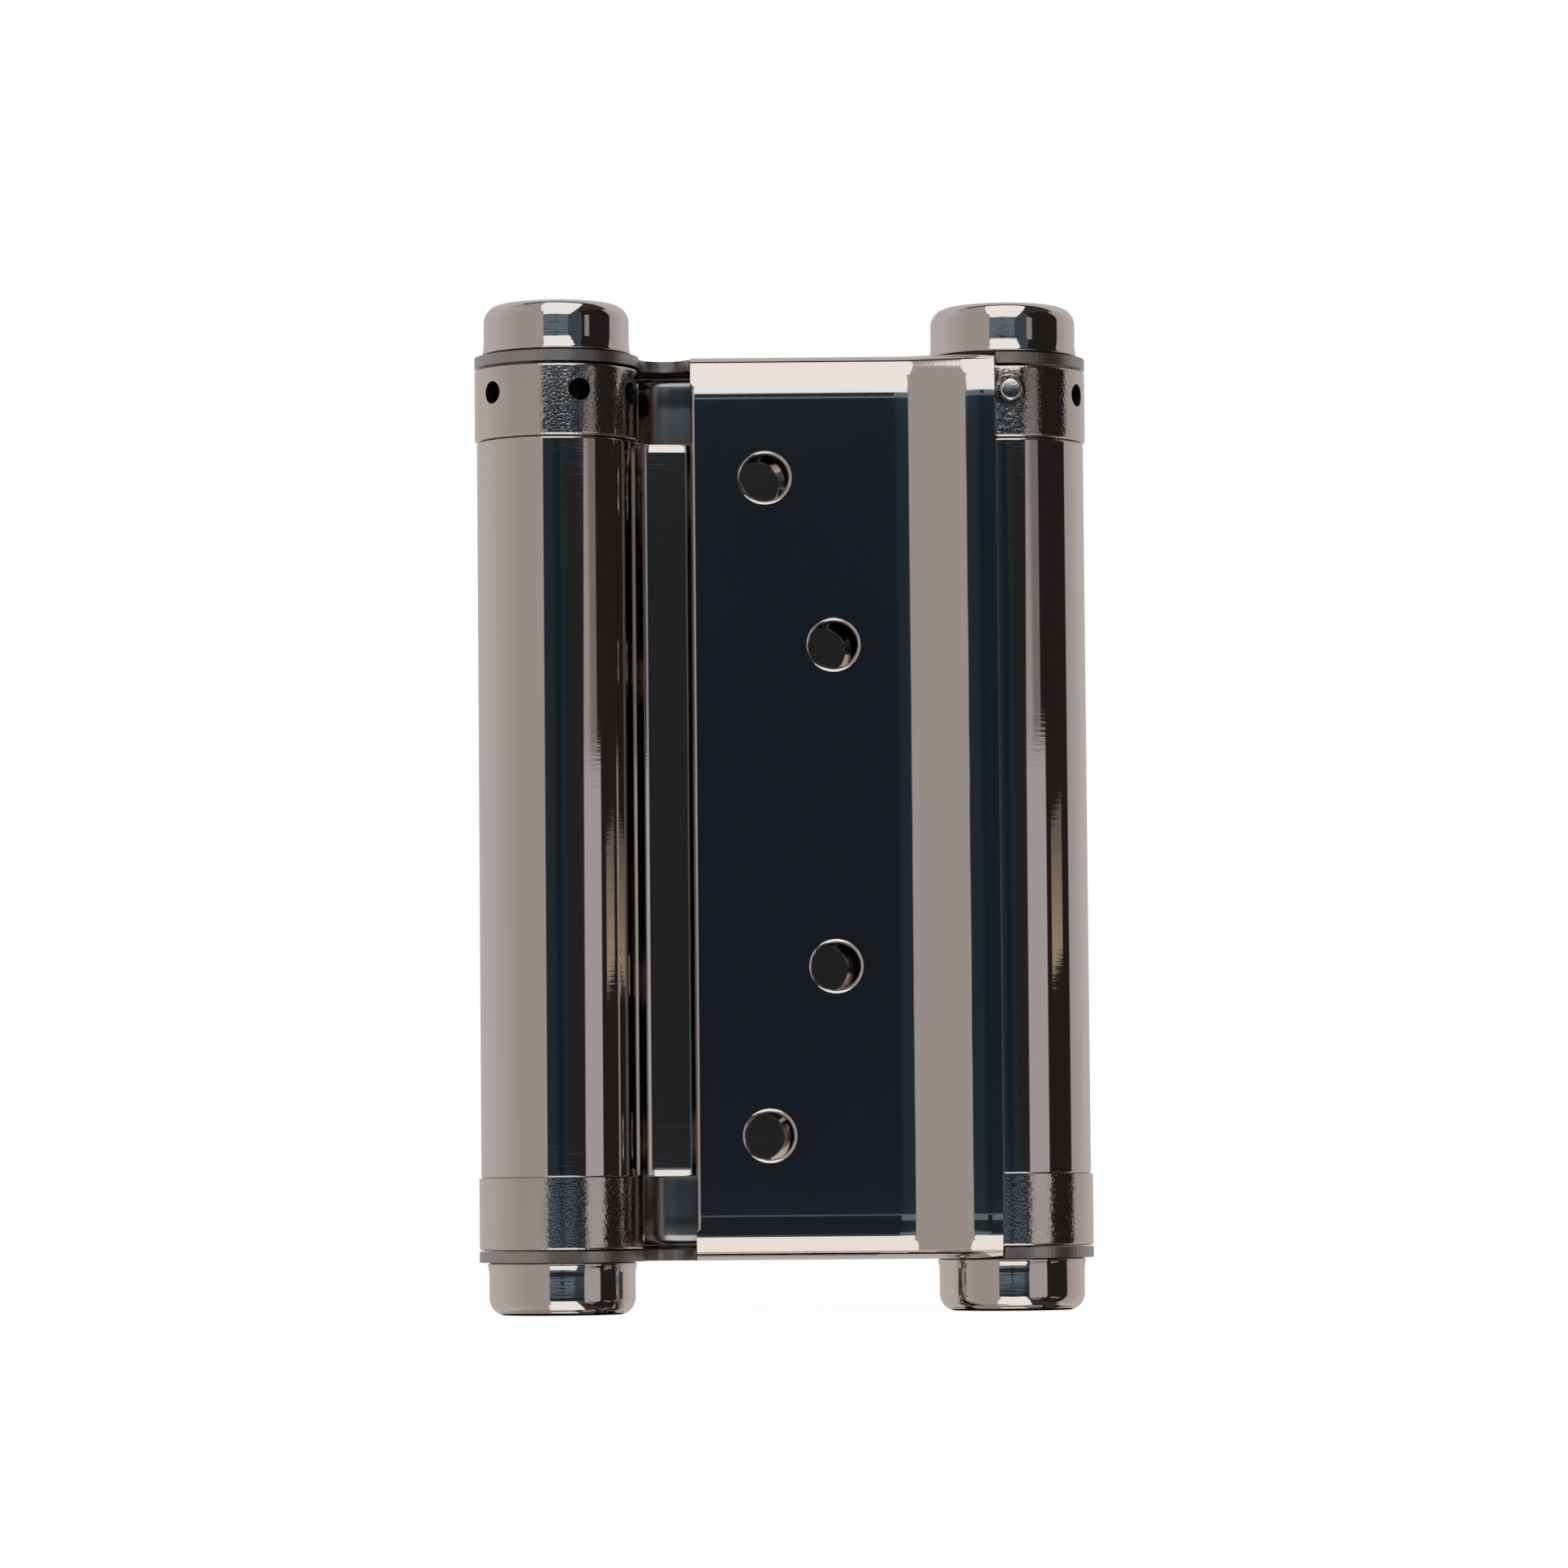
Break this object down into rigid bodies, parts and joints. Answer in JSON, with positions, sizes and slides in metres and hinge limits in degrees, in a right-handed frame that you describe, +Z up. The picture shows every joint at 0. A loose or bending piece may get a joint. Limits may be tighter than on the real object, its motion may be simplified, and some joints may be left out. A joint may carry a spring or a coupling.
{
  "type": "double action cafe hinge",
  "caption": "Polished double action spring hinge with a leaf for the jamb and one for the door on sprung barrels joined by a link, for a swinging cafe door.",
  "frame": {"origin": "middle of the link web, halfway between the two barrels and halfway up", "axes": "+Z up along the barrels, +X from the jamb barrel to the door barrel along the leaves, -Y out of the door leaf's mounting face"},
  "size_m": [0.068, 0.0242, 0.1116],
  "materials": {
    "polished": "mirror polished nickel plate, slightly warm",
    "plated_collar": "grainy satin nickel plate",
    "pin": "turned and plated, sheared end",
    "spindle": "drawn bar",
    "spring_wire": "drawn spring wire, oiled"
  },
  "bodies": {
    "jamb_side": {"jamb_leaf": "polished", "jamb_spindle": "spindle", "jamb_top_cap": "polished", "jamb_bottom_cap": "polished"},
    "jamb_tension": {"jamb_tension_collar": "plated_collar", "jamb_stop_pin": "pin"},
    "link": {"centre_link": "polished", "door_anchor_collar": "plated_collar", "jamb_anchor_collar": "plated_collar", "door_spring": "spring_wire", "jamb_spring": "spring_wire"},
    "door_side": {"door_leaf": "polished", "door_spindle": "spindle", "door_top_cap": "polished", "door_bottom_cap": "polished"},
    "door_tension": {"door_tension_collar": "plated_collar", "door_stop_pin": "pin"}
  },
  "joints": [
    {"name": "jamb_barrel", "type": "hinge", "parent": "jamb_side", "child": "link", "pos_m": [-0.02486, -0.00304, 0], "axis": [0, 0, -1], "range_deg": [0, 120], "stiffness_Nm_per_rad": 0.25, "springref_deg": -91.67, "deforming": ["jamb_spring"]},
    {"name": "door_barrel", "type": "hinge", "parent": "link", "child": "door_side", "pos_m": [0.02486, 0.00304, 0], "axis": [0, 0, 1], "range_deg": [0, 120], "stiffness_Nm_per_rad": 0.25, "springref_deg": -91.67, "deforming": ["door_spring"]},
    {"name": "jamb_tension_set", "type": "hinge", "parent": "jamb_side", "child": "jamb_tension", "pos_m": [-0.02486, -0.00304, 0.0445], "axis": [0, 0, 1], "range_deg": [0, 60], "stiffness_Nm_per_rad": 0.006, "springref_deg": -57.3},
    {"name": "door_tension_set", "type": "hinge", "parent": "door_side", "child": "door_tension", "pos_m": [0.02486, 0.00304, 0.0445], "axis": [0, 0, 1], "range_deg": [0, 60], "stiffness_Nm_per_rad": 0.006, "springref_deg": -57.3}
  ]
}
